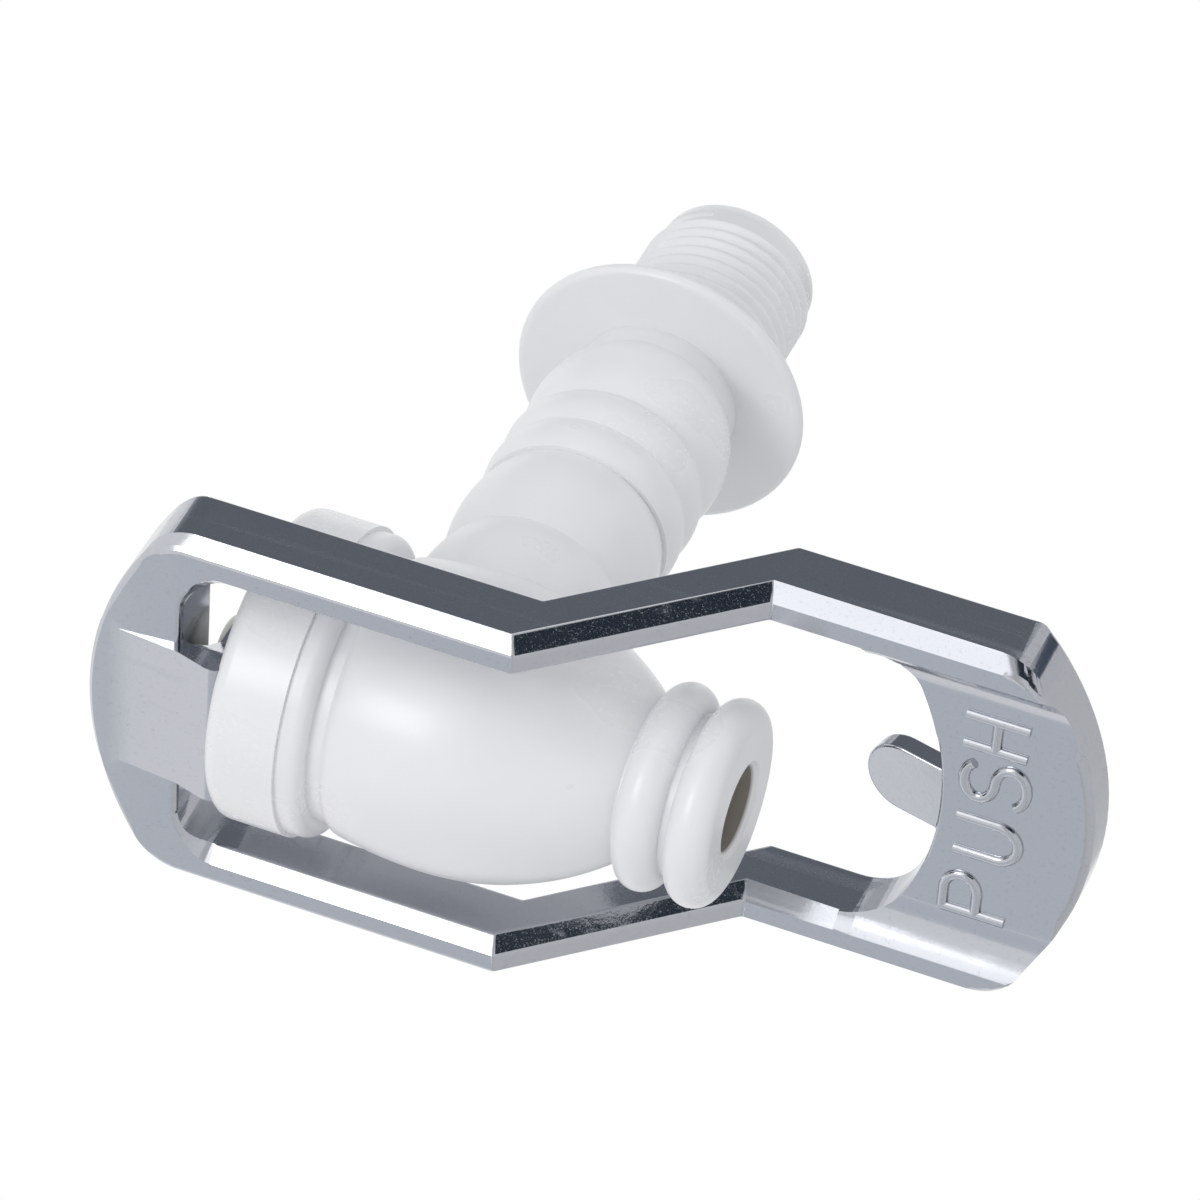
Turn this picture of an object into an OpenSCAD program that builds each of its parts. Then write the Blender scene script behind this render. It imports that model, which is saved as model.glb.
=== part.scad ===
// Push-back spigot for a water filter or dispenser tank
// The wall thread points to +Y and the nozzle points down
// The lever stands in front of the barrel and is pushed back towards the wall
// Sizes are in millimetres, the origin is the centre of the flange's back face

/* [Wall thread and flange] */
// Outside diameter of the wall thread, half inch pipe size
thread_d = 20.955; // [20.5:0.005:21.5]
// Length of the wall thread behind the flange, lead-in included
thread_l = 23.8; // [16:0.1:30]
// Length of the plain lead-in at the thread's end
lead_l = 1.8; // [1.5:0.1:4]
// Step from the thread down to the lead-in
lead_step = 0.7; // [0.4:0.1:1.2]
// Diameter of the water way through the shank
inlet_d = 12; // [9:0.1:13]
// Diameter of the wall flange
flange_d = 35.5; // [31:0.5:40]
// Thickness of the wall flange
flange_t = 1.8; // [1.4:0.1:3]

/* [Turned shank] */
// Distance from the wall to the barrel's axis
reach = 63.3; // [60:0.1:80]
// Largest diameter of the turned beads
shank_d = 24.2; // [22:0.1:25]
// Depth of the grooves beside a ball
groove = 1.15; // [0.8:0.05:1.6]
// Depth of the fine groove between the two rings
fine_groove = 0.6; // [0.4:0.05:1]
// Length of the ball next to the flange
ball_l = 15; // [14:0.1:17]
// Length of each thin ring
ring_l = 5.4; // [4:0.1:7]
// Length of each long bead towards the barrel
bead_l = 12.7; // [11:0.1:13.5]
// Diameter of the neck between the flange and the first ball
neck_d = 18; // [16.5:0.1:20]

/* [Barrel] */
// Largest diameter of the barrel
barrel_d = 34.4; // [33:0.1:36]
// Height of the barrel's widest place below the shank's axis
bulge_drop = 2; // [0:0.1:4]
// Radius of the curve from the widest place down to the nozzle
belly_r = 32; // [31:0.5:34]
// Height of the barrel's shoulder above the shank's axis
shoulder_z = 9.6; // [9:0.1:11]
// Diameter at the shoulder before its edge is rounded
shoulder_d = 31.8; // [31:0.1:32.5]
// Rounding of the shoulder's edge
shoulder_round = 2.2; // [1.2:0.1:3]
// Height of the groove between shoulder and collar
valley_h = 1.3; // [0.8:0.1:2]
// Depth of that groove under the collar's edge
valley_t = 3.1; // [2.6:0.1:3.4]
// Height of the collar that the bonnet screws down to
collar_h = 2.8; // [2:0.1:4]
// Step of the collar's edge inside the bonnet's edge
collar_in = 0.5; // [0.2:0.1:1]
// Height of the screwed neck inside the bonnet
screw_h = 4.9; // [4:0.1:7]

/* [Nozzle] */
// Distance from the shank's axis down to the first nozzle ring
ring_drop = 25.8; // [24.5:0.1:28]
// Distance between the two nozzle rings
ring_pitch = 6.1; // [5.5:0.1:7]
// Outside diameter of the nozzle rings
ring_d = 24; // [22:0.1:26]
// Thickness of each nozzle ring
ring_t = 5.2; // [4.6:0.1:5.4]
// Diameter of the outlet bore
outlet_d = 10; // [8:0.1:11]
// Break of the outlet's edge
outlet_edge = 0.7; // [0.4:0.1:1]

/* [Valve chamber] */
// Diameter of the valve chamber
chamber_d = 25.6; // [24.6:0.1:26]
// Depth of the chamber's floor below the shank's axis
chamber_drop = 13; // [12.5:0.1:14]
// Height of the chamber's sloping foot
chamber_foot = 6; // [4:0.1:7]
// Diameter of the chamber's floor
floor_d = 19; // [18:0.1:21]
// Height of the valve seat's lip
lip_h = 1.6; // [1:0.1:2.2]
// Width of the valve seat's lip
lip_t = 1.7; // [1.2:0.1:2.2]

/* [Bonnet] */
// Outside diameter of the bonnet
cap_d = 36.2; // [35.5:0.1:38]
// Thickness of the bonnet's top
cap_t = 2.4; // [2.2:0.1:3]
// Rounding of the bonnet's top edge
cap_round = 2; // [1.2:0.1:2.4]
// Wall of the bonnet's skirt
skirt_t = 2.7; // [2.2:0.1:3]
// Length of the guide under the bonnet's top
guide_l = 4.6; // [3:0.1:6]
// Wall of the guide round the stem
guide_t = 1.6; // [1.2:0.1:2]

/* [Stem, cup and spring] */
// Diameter of the stem in its guide
stem_d = 8; // [7.4:0.1:8.6]
// Diameter of the stem's waist that the fork holds
waist_d = 5.6; // [5:0.1:6]
// Depth of the waist's start below the bonnet's top
waist_drop = 1.5; // [1.3:0.1:2]
// Thickness of the stem's head
head_t = 1.9; // [1.6:0.1:2.2]
// Diameter of the stem's spring plate
plate_d = 16.4; // [16:0.1:18]
// Thickness of the stem's spring plate
plate_t = 2; // [1.5:0.1:3]
// Diameter of the stem's foot that snaps into the cup
foot_d = 8.4; // [7.6:0.1:8.8]
// Thickness of the cup's clamped rim
rim_t = 1.4; // [1:0.1:2]
// Wall of the silicone cup
cup_t = 1; // [0.8:0.1:1.4]
// Diameter of the cup's plug on the valve seat
plug_d = 15.2; // [14.4:0.1:16]
// Height of the cup's plug
plug_h = 5.4; // [5:0.1:6]
// Mean diameter of the spring's coils
spring_d = 14.2; // [13.4:0.1:15]
// Diameter of the spring's wire
wire_d = 1; // [0.8:0.1:1.2]
// Number of working turns of the spring
turns = 6; // [4:1:8]

/* [Lever] */
// Thickness of each arm from inside to outside
arm_t = 5.75; // [5:0.05:7]
// Depth of the arms from front to back
lever_depth = 8.6; // [7.6:0.1:9.4]
// Width of the bevels along the front edges
bevel = 1.7; // [1:0.1:2]
// Break of the back edges
back_edge = 0.5; // [0.3:0.1:0.8]
// Break of the front edges along the round ends and the windows' corners
end_edge = 0.5; // [0.3:0.1:1]
// Rounding of the four outer corners
turn_r = 6.5; // [4:0.5:8]
// How far the bonnet stands out in front of the lever
cap_proud = 5.75; // [5.5:0.05:6.5]
// How far the lower part stands behind the upper part
setback = 20.3; // [16:0.1:24]
// Height of the upper bend below the shank's axis
bend_drop = 11.4; // [6:0.1:14]
// Height of the lower bend above the nozzle's end
bend_rise = 1.2; // [0:0.1:6]
// Outer radius of the lever's lower end
end_r = 37.6; // [34:0.1:44]
// Outer radius of the lever's top end
top_r = 40.8; // [36:0.1:46]
// Height of the window above the bonnet
window_rise = 5.1; // [4.4:0.1:6]
// Height of the top plate above the window
top_h = 11; // [10:0.1:14]
// Radius of the window's upper corners
corner_r = 4.5; // [3:0.1:6]
// Distance from the nozzle's end down to the pad
pad_drop = 19.6; // [16:0.1:26]
// Height of the push pad
pad_h = 17.65; // [15:0.05:22]
// Radius of the pad's edge in the window
pad_arc_r = 37; // [34:0.5:44]
// Radius of the window's lower corners
pad_corner_r = 7.5; // [4:0.1:8]
// Depth of the pad's face below the front of the arms
pad_sink = 2.6; // [2:0.1:3]
// Radius of the hollow along the pad's sides
pad_hollow_r = 3.5; // [3:0.1:4.5]
// Width of the rim round the pocket in the pad's back
rim_w = 2.8; // [2:0.1:3.5]
// Thickness of the pad between its face and the pocket
pad_t = 3.2; // [2.4:0.1:3.6]
// Width of the tab in the window
tab_w = 8.8; // [7:0.1:11]
// Length of the tab in the window
tab_l = 10.1; // [7:0.1:11]
// Thickness of the tab
tab_t = 2.5; // [2:0.1:3]
// Step of the tab's root behind the pad's face
tab_step = 0.1; // [0.05:0.05:0.5]
// Backward lean of the tab
tab_lean = 14; // [0:1:15]

/* [Strap and fork] */
// Width of the strap over the bonnet
strap_w = 19.5; // [17:0.1:22]
// Thickness of the strap where it bends
strap_t = 3.2; // [2.6:0.1:3.6]
// How far the strap's fold stands out in front of the lever
strap_proud = 1.85; // [1.5:0.05:2.2]
// How far the strap stands out at its crease
crease_proud = 0.75; // [0.4:0.05:1.2]
// Thickness of the fork over the bonnet
fork_t = 2.4; // [2:0.1:2.6]
// Width of the fork beside the stem
fork_w = 13; // [11:0.1:15]
// How far the fork reaches past the stem's axis
fork_over = 4.4; // [4:0.1:6]
// Radius of the heel that rocks on the bonnet
heel_r = 1.4; // [1.2:0.05:1.5]

/* [Hidden] */
$fn = 64;

// Clearances
stem_gap = 0.08;
heel_gap = 0.08;
heel_end = 0.3;
screw_gap = 0.1;
cup_gap = 0.3;
foot_gap = 0.05;
spring_gap = 0.02;
fork_lift = 0.5;
fork_gap = 0.15;
fork_slack = 0.4;
head_gap = 0.15;
arm_gap = 1.4;
flow_gap = 1.8;
over = 1;

// Slight crossing of the corner roundings with the faces that they join
blend = 0.01;

// Turn of the barrel's round surfaces, which keeps their seam off the middle planes
seam_turn = 11.25;

// Barrel and nozzle heights, measured from the shank's axis
bulge_z = -bulge_drop;
barrel_r = barrel_d / 2;
collar_z = shoulder_z + valley_h;
seam_z = collar_z + collar_h;
screw_top = seam_z + screw_h;
ceiling_z = screw_top + rim_t;
cap_top = ceiling_z + cap_t;
cap_r = cap_d / 2;
cavity_r = cap_r - skirt_t;
screw_r = cavity_r - screw_gap;
collar_r = cap_r - collar_in;
valley_r = collar_r - valley_t;
ring_r = ring_d / 2;
core_r = ring_r - ring_t / 2;
ring_1_z = -ring_drop;
ring_2_z = ring_1_z - ring_pitch;
nozzle_z = ring_2_z - ring_t / 2;
outlet_r = outlet_d / 2;
floor_z = -chamber_drop;
lip_top = floor_z + lip_h;
lip_r = outlet_r + lip_t;
chamber_r = chamber_d / 2;

// Shank, measured from the wall towards the barrel
shank_r = shank_d / 2;
groove_r = shank_r - groove;
fine_r = shank_r - fine_groove;
thread_r = thread_d / 2;
ball_end = flange_t + ball_l;
ball_mid = ball_end - sqrt(shank_r * shank_r - groove_r * groove_r);
ring_a = ball_end;
ring_b = ring_a + ring_l;
bead_a = ring_b + ring_l;
bead_b = bead_a + bead_l;
shank_end = bead_b + bead_l;

// Stem, cup and spring
stem_r = stem_d / 2;
waist_r = waist_d / 2;
guide_hole_r = stem_r + stem_gap;
plug_top = lip_top + plug_h;
cup_r = chamber_r - flow_gap;
cup_in = cup_r - cup_t;
shelf_z = plug_top + cup_r - plug_d / 2 + cup_t;
foot_r = foot_d / 2;
foot_z = lip_top + cup_t + foot_r + foot_gap;
shank_foot_r = foot_r * 0.7;
plate_z = shelf_z + cup_gap;
spring_low = plate_z + plate_t + spring_gap;
spring_high = ceiling_z - spring_gap;
waist_z = cap_top - waist_drop;

// Lever
arm_in = cap_r + arm_gap;
arm_out = arm_in + arm_t;
front_hi = cap_proud - cap_r;
front_lo = front_hi + setback;
bend_hi = -bend_drop;
bend_lo = nozzle_z + bend_rise;
window_top = cap_top + window_rise;
lever_top = window_top + top_h;
pad_top = nozzle_z - pad_drop;
lever_low = pad_top - pad_h;
slope = atan(setback / (bend_hi - bend_lo));
join_hi = bend_hi + bevel;
join_lo = bend_lo - bevel;
heel_y = front_hi - strap_proud + heel_r;
heel_z = cap_top + fork_lift + heel_gap;
fork_low = cap_top + fork_lift;
fork_top = fork_low + fork_t;
slot_r = waist_r + fork_gap;
head_z = fork_top + head_gap;

// Profile pieces
module arc_band(from, length, peak, edge) {
  sag = peak - edge;
  arc_r = (length * length / 4 + sag * sag) / (2 * sag);
  intersection() {
    translate([peak - arc_r, from + length / 2]) circle(arc_r, $fn = 128);
    translate([0, from]) square([peak, length]);
  }
}

module disc_profile(r, low, high, edge) {
  translate([0, low]) square([r - edge, high - low]);
  translate([0, low]) square([r, high - low - edge]);
  translate([r - edge, high - edge]) circle(edge);
}

// Body, one moulding
module shank_solid() {
  rotate([90, 0, 0]) rotate_extrude($fn = 96) union() {
    square([flange_d / 2 - flange_t / 2, flange_t]);
    translate([flange_d / 2 - flange_t / 2, flange_t / 2]) circle(flange_t / 2);
    square([neck_d / 2, ball_mid]);
    intersection() {
      translate([0, ball_mid]) circle(shank_r, $fn = 128);
      translate([0, flange_t / 2]) square([shank_r, ball_end - flange_t / 2]);
    }
    arc_band(ring_a, ring_l, shank_r, fine_r);
    arc_band(ring_b, ring_l, shank_r, fine_r);
    arc_band(bead_a, bead_l, shank_r, groove_r);
    arc_band(bead_b, bead_l, shank_r, groove_r);
    square([groove_r - groove, reach - chamber_r / 2]);
    translate([0, lead_l - thread_l]) square([thread_r, thread_l - lead_l]);
    translate([0, -thread_l]) polygon([
      [0, 0],
      [thread_r - 2 * lead_step, 0],
      [thread_r - lead_step, lead_step],
      [thread_r - lead_step, lead_l + over],
      [0, lead_l + over]
    ]);
  }
}

module barrel_profile() {
  sag = barrel_r - shoulder_d / 2;
  rise = shoulder_z - bulge_z;
  upper_r = (rise * rise + sag * sag) / (2 * sag);
  edge_z = shoulder_z - shoulder_round;
  inner = upper_r - shoulder_round;
  edge_x = barrel_r - upper_r + sqrt(inner * inner - (edge_z - bulge_z) * (edge_z - bulge_z));
  touch_z = bulge_z + (edge_z - bulge_z) * upper_r / inner;
  intersection() {
    translate([barrel_r - belly_r, bulge_z]) circle(belly_r, $fn = 160);
    translate([0, ring_1_z]) square([barrel_r, bulge_z - ring_1_z]);
  }
  intersection() {
    translate([barrel_r - upper_r, bulge_z]) circle(upper_r, $fn = 200);
    translate([0, bulge_z]) square([barrel_r, touch_z - bulge_z]);
  }
  translate([edge_x, edge_z]) circle(shoulder_round);
  translate([0, bulge_z]) square([edge_x, shoulder_z - bulge_z]);
  translate([0, bulge_z]) square([valley_r, collar_z + collar_h / 2 - bulge_z]);
  translate([0, collar_z]) square([collar_r - collar_h / 2, collar_h]);
  translate([0, collar_z + collar_h / 2]) square([collar_r, collar_h / 2]);
  translate([collar_r - collar_h / 2, collar_z + collar_h / 2]) circle(collar_h / 2);
  square([screw_r, screw_top]);
  translate([0, nozzle_z]) square([core_r, bulge_z - nozzle_z]);
  for (z = [ring_1_z, ring_2_z]) translate([core_r, z]) circle(ring_t / 2);
}

module water_way() {
  rotate_extrude($fn = 96) polygon([
    [0, lip_top],
    [lip_r, lip_top],
    [lip_r, floor_z],
    [floor_d / 2, floor_z],
    [chamber_r, floor_z + chamber_foot],
    [chamber_r, screw_top + over],
    [0, screw_top + over]
  ]);
  rotate_extrude($fn = 96) polygon([
    [0, nozzle_z - over],
    [outlet_r + outlet_edge + over, nozzle_z - over],
    [outlet_r, nozzle_z + outlet_edge],
    [outlet_r, lip_top + over],
    [0, lip_top + over]
  ]);
}

module faucet_body() {
  color("whitesmoke") difference() {
    union() {
      shank_solid();
      translate([0, -reach, 0]) rotate([0, 0, seam_turn]) rotate_extrude($fn = 128) barrel_profile();
    }
    translate([0, -reach, 0]) rotate([0, 0, seam_turn]) water_way();
    translate([0, thread_l + over, 0]) rotate([90, 0, 0])
      cylinder(d = inlet_d, h = thread_l + over + reach - chamber_r / 2);
  }
}

// Bonnet that screws down on the collar
module bonnet() {
  color("white") translate([0, -reach, 0]) difference() {
    rotate_extrude($fn = 128) difference() {
      disc_profile(cap_r, seam_z, cap_top, cap_round);
      translate([0, seam_z - over]) square([cavity_r, ceiling_z - seam_z + over]);
    }
    translate([0, 0, ceiling_z - over]) cylinder(r = guide_hole_r, h = cap_t + 2 * over);
    translate([-strap_w / 2 - heel_end, heel_y, heel_z]) rotate([0, 90, 0])
      cylinder(r = heel_r + heel_gap, h = strap_w + 2 * heel_end);
  }
  color("white") translate([0, -reach, ceiling_z - guide_l]) difference() {
    cylinder(r = guide_hole_r + guide_t, h = guide_l + cap_t / 4);
    translate([0, 0, -over]) cylinder(r = guide_hole_r, h = guide_l + cap_t + over);
  }
}

// Silicone cup, its rim clamped under the bonnet and its plug on the seat
module seat_cup() {
  color("lightgray") translate([0, -reach, 0]) rotate_extrude($fn = 96) difference() {
    polygon([
      [0, lip_top],
      [plug_d / 2, lip_top],
      [plug_d / 2, plug_top],
      [cup_r, plug_top + cup_r - plug_d / 2],
      [cup_r, screw_top],
      [screw_r - cup_gap, screw_top],
      [screw_r - cup_gap, ceiling_z],
      [0, ceiling_z]
    ]);
    translate([0, shelf_z]) square([cup_in, ceiling_z - shelf_z + over]);
    translate([0, foot_z]) square([shank_foot_r + foot_gap, shelf_z - foot_z + over]);
    translate([0, foot_z]) circle(foot_r + foot_gap);
  }
}

// Stem, from the snap foot up to the head over the fork
module stem() {
  color("ivory") translate([0, -reach, 0]) rotate_extrude($fn = 96) intersection() {
    union() {
      translate([0, foot_z]) circle(foot_r);
      translate([0, foot_z]) square([shank_foot_r, plate_z - foot_z + plate_t / 2]);
      translate([0, plate_z]) square([plate_d / 2, plate_t]);
      translate([0, plate_z]) square([stem_r, waist_z - plate_z]);
      translate([0, plate_z]) square([waist_r, head_z - plate_z + head_t / 2]);
      disc_profile(stem_r, head_z, head_z + head_t, head_t * 0.45);
    }
    translate([0, lip_top]) square([cap_r, head_z + head_t - lip_top]);
  }
}

// Spring wire swept along a helix with closed ends
function coil_rise(t, n) = t < 1 ? t * wire_d * 1.05
  : t > n - 1 ? spring_high - spring_low - wire_d - (n - t) * wire_d * 1.05
  : wire_d * 1.05 + (t - 1) * (spring_high - spring_low - 3.1 * wire_d) / (n - 2);

module spring() {
  steps = 20;
  sides = 8;
  total = turns + 2;
  rings = [for (i = [0:total * steps]) i];
  points = [for (i = rings) for (k = [0:sides - 1])
    let (t = i / steps, a = 360 * t, b = 360 * k / sides)
    let (r = spring_d / 2 + wire_d / 2 * cos(b))
    [r * cos(a), r * sin(a), coil_rise(t, total) + wire_d / 2 + wire_d / 2 * sin(b)]];
  walls = [for (i = [0:len(rings) - 2]) for (k = [0:sides - 1])
    let (a = i * sides + k, b = i * sides + (k + 1) % sides)
    [a, b, b + sides, a + sides]];
  last = (len(rings) - 1) * sides;
  ends = [[for (k = [sides - 1:-1:0]) k], [for (k = [0:sides - 1]) last + k]];
  color("silver") translate([0, -reach, spring_low])
    polyhedron(points, concat(walls, ends), convexity = 8);
}

// Lever, one casting
module full_section() {
  polygon([
    [-arm_out, bevel],
    [bevel - arm_out, 0],
    [arm_out - bevel, 0],
    [arm_out, bevel],
    [arm_out, lever_depth - back_edge],
    [arm_out - back_edge, lever_depth],
    [back_edge - arm_out, lever_depth],
    [-arm_out, lever_depth - back_edge]
  ]);
}

module end_disc(r) {
  rotate([-90, 0, 0]) rotate_extrude($fn = 160) polygon([
    [0, 0],
    [r - end_edge, 0],
    [r, end_edge],
    [r, lever_depth - back_edge],
    [r - back_edge, lever_depth],
    [0, lever_depth]
  ]);
}

// Cutters that round the two corners of one end
module corner_cuts(r, mid_z, way) {
  near_r = turn_r - blend;
  side = arm_out - near_r;
  rise = sqrt(pow(r - near_r, 2) - side * side);
  reach_out = (r + over) / (r - near_r);
  for (s = [-1, 1]) difference() {
    translate([0, lever_depth + over, mid_z]) rotate([90, 0, 0])
      linear_extrude(lever_depth + 2 * over) polygon([
        [s * side, way * rise],
        [s * (arm_out + over), way * rise],
        [s * (arm_out + over), way * rise * reach_out],
        [s * side * reach_out, way * rise * reach_out]
      ]);
    translate([s * side, -2 * over, mid_z + way * rise]) rotate([-90, 0, 0])
      cylinder(r = turn_r, h = lever_depth + 4 * over);
  }
}

// Straight part of a window, bevelled along its front and back edges
module window_run(low, high) {
  flare = bevel + over;
  back = back_edge + over;
  translate([0, 0, low]) linear_extrude(high - low) polygon([
    [-arm_in - flare, -over],
    [arm_in + flare, -over],
    [arm_in, bevel],
    [arm_in, lever_depth - back_edge],
    [arm_in + back, lever_depth + over],
    [-arm_in - back, lever_depth + over],
    [-arm_in, lever_depth - back_edge],
    [-arm_in, bevel]
  ]);
}

module round_cut(r) {
  rotate([-90, 0, 0]) rotate_extrude($fn = 64) polygon([
    [0, -over],
    [r + end_edge + over, -over],
    [r, end_edge],
    [r, lever_depth - back_edge],
    [r + back_edge + over, lever_depth + over],
    [0, lever_depth + over]
  ]);
}

module upper_part() {
  side = arm_in - corner_r;
  translate([0, front_hi, 0]) difference() {
    intersection() {
      translate([0, 0, join_hi]) linear_extrude(lever_top - join_hi) full_section();
      translate([0, 0, lever_top - top_r]) end_disc(top_r);
    }
    corner_cuts(top_r, lever_top - top_r, 1);
    window_run(join_hi - over, window_top - corner_r);
    for (s = [-1, 1]) translate([s * side, 0, window_top - corner_r]) round_cut(corner_r);
    translate([-side, 0, 0]) rotate([90, 0, 90]) linear_extrude(2 * side) polygon([
      [-over, join_hi + over],
      [-over, window_top + end_edge + over],
      [end_edge, window_top],
      [lever_depth - back_edge, window_top],
      [lever_depth + over, window_top + back_edge + over],
      [lever_depth + over, join_hi + over]
    ]);
  }
}

// One arm between the straight parts, its bevels mitred at both bends
module middle_arm() {
  mitre = bevel * tan(slope / 2);
  back = lever_depth - back_edge;
  across = [arm_in, arm_in + bevel, arm_out - bevel, arm_out,
    arm_out, arm_out - back_edge, arm_in + back_edge, arm_in];
  deep = [bevel, 0, 0, bevel, back, lever_depth, lever_depth, back];
  lift = [mitre, 0, 0, mitre, 0, 0, 0, 0];
  rails = len(across);
  points = concat(
    [for (i = [0:rails - 1]) [across[i], front_hi + deep[i], join_hi]],
    [for (i = [0:rails - 1]) [across[i], front_hi + deep[i], bend_hi + lift[i]]],
    [for (i = [0:rails - 1]) [across[i], front_lo + deep[i], bend_lo + lift[i]]],
    [for (i = [0:rails - 1]) [across[i], front_lo + deep[i], join_lo]]
  );
  walls = [for (k = [0:2]) for (i = [0:rails - 1])
    let (a = k * rails + i, b = k * rails + (i + 1) % rails)
    [a, b, b + rails, a + rails]];
  ends = [[for (i = [rails - 1:-1:0]) i], [for (i = [0:rails - 1]) 3 * rails + i]];
  polyhedron(points, concat(walls, ends));
}

module middle_part() {
  middle_arm();
  mirror([1, 0, 0]) middle_arm();
}

module pad_cuts() {
  mid_z = pad_top + pad_arc_r;
  side = arm_in - pad_corner_r;
  drop = sqrt(pow(pad_arc_r - pad_corner_r, 2) - side * side);
  corner_z = mid_z - drop;
  touch_x = side * pad_arc_r / (pad_arc_r - pad_corner_r);
  hollow_x = arm_in - 0.3 - pad_hollow_r;
  window_run(corner_z, join_lo + over);
  for (s = [-1, 1]) translate([s * side, 0, corner_z]) round_cut(pad_corner_r);
  translate([0, -over, 0]) rotate([-90, 0, 0]) mirror([0, 1]) linear_extrude(lever_depth + 2 * over) {
    intersection() {
      translate([0, mid_z]) circle(pad_arc_r, $fn = 160);
      translate([-touch_x, pad_top - over]) square([2 * touch_x, corner_z - pad_top + 2 * over]);
    }
  }
  translate([0, 0, lever_low - over]) linear_extrude(corner_z - 1.5 - lever_low + over) union() {
    for (s = [-1, 1]) translate([s * hollow_x, pad_sink - pad_hollow_r]) circle(pad_hollow_r);
    translate([-hollow_x, -over]) square([2 * hollow_x, pad_sink + over]);
  }
  translate([0, pad_sink + pad_t, 0]) rotate([-90, 0, 0]) mirror([0, 1])
    linear_extrude(lever_depth) difference() {
      intersection() {
        translate([0, lever_low + end_r]) circle(end_r - rim_w, $fn = 160);
        translate([rim_w - arm_out, lever_low]) square([2 * (arm_out - rim_w), corner_z - lever_low - pad_corner_r]);
      }
      translate([0, mid_z]) circle(pad_arc_r + rim_w, $fn = 160);
    }
}

module lower_part() {
  translate([0, front_lo, 0]) {
    difference() {
      intersection() {
        translate([0, 0, lever_low]) linear_extrude(join_lo - lever_low) full_section();
        translate([0, 0, lever_low + end_r]) end_disc(end_r);
      }
      pad_cuts();
      corner_cuts(end_r, lever_low + end_r, -1);
    }
    translate([0, pad_sink + tab_step, pad_top - rim_w / 2]) rotate([-90 - tab_lean, 0, 0]) {
      translate([0, tab_w / 2 - tab_l - rim_w / 2, 0]) cylinder(d = tab_w, h = tab_t);
      translate([-tab_w / 2, tab_w / 2 - tab_l - rim_w / 2, 0]) cube([tab_w, tab_l - tab_w / 2 + rim_w / 2, tab_t]);
    }
  }
}

// Strap from the top plate over the bonnet's edge, with the fork round the stem
module strap() {
  fold_y = front_hi - strap_proud;
  back_y = fold_y + strap_t;
  crease_z = window_top - 0.2;
  half = strap_w / 2;
  taper_y = back_y + strap_t;
  difference() {
    intersection() {
      translate([-half, 0, 0]) rotate([90, 0, 90]) linear_extrude(strap_w) union() {
        polygon([
          [front_hi + 0.15, lever_top - 2],
          [front_hi - crease_proud, crease_z],
          [fold_y, heel_z + heel_r / 2],
          [fold_y, heel_z],
          [heel_y, fork_low],
          [fork_over, fork_low],
          [fork_over, fork_top],
          [back_y + 1, fork_top],
          [back_y, fork_top + 1],
          [back_y, lever_top - 2]
        ]);
        translate([heel_y, heel_z]) circle(heel_r);
      }
      translate([0, 0, fork_low - strap_t]) linear_extrude(lever_top) polygon([
        [-half, fold_y - over],
        [half, fold_y - over],
        [half, back_y],
        [fork_w / 2, taper_y + strap_t / 2],
        [fork_w / 2, fork_over - fork_w / 8],
        [fork_w / 2 - fork_w / 8, fork_over + over / 100],
        [fork_w / 8 - fork_w / 2, fork_over + over / 100],
        [-fork_w / 2, fork_over - fork_w / 8],
        [-fork_w / 2, taper_y + strap_t / 2],
        [-half, back_y]
      ]);
    }
    translate([0, fork_gap - fork_slack, fork_low - over]) {
      cylinder(r = slot_r, h = fork_t + 2 * over);
      translate([-slot_r, 0, 0]) cube([2 * slot_r, 2 * fork_over, fork_t + 2 * over]);
    }
  }
}

module lever() {
  color("gainsboro") translate([0, -reach, 0]) union() {
    upper_part();
    middle_part();
    lower_part();
    strap();
  }
}

faucet_body();
bonnet();
seat_cup();
stem();
spring();
lever();
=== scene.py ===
# %% [markdown]
# # Water filter spigot
# A push-back spigot has a white plastic body that screws through a tank wall, a white screwed
# bonnet, and a chromed loop lever in front. The CAD model gives every size. This notebook dresses
# it: soft edges, a real thread, the raised word on the pad, and the finishes.
# Every length here is in metres, so 0.001 is a millimetre.

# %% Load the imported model
import math
import bmesh
import bpy
from mathutils import Matrix, Vector


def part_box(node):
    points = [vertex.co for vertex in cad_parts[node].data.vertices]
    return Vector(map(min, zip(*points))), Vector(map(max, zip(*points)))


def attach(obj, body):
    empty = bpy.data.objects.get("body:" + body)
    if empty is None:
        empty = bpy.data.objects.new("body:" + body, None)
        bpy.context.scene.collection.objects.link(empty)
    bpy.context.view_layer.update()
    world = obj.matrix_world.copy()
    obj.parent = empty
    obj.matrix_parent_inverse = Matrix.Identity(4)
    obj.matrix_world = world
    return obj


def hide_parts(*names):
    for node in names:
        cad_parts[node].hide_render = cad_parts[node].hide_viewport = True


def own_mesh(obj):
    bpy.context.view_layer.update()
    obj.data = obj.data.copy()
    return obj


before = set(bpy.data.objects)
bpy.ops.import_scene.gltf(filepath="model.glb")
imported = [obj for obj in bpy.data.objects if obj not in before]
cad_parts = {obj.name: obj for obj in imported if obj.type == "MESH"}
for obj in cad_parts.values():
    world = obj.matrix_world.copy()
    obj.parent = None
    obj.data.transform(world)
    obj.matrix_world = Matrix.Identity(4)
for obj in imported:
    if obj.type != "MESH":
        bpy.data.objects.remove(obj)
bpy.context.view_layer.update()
MM = 0.001
REACH = 63.3 * MM

# %% [markdown]
# ## Camera
# The photograph is taken from in front of the lever, from its right and a little below, with the
# camera turned so that the nozzle points to the right of the picture. The three directions below
# are the picture's right, its up and the way back to the camera. A long lens keeps it flat.

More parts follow.
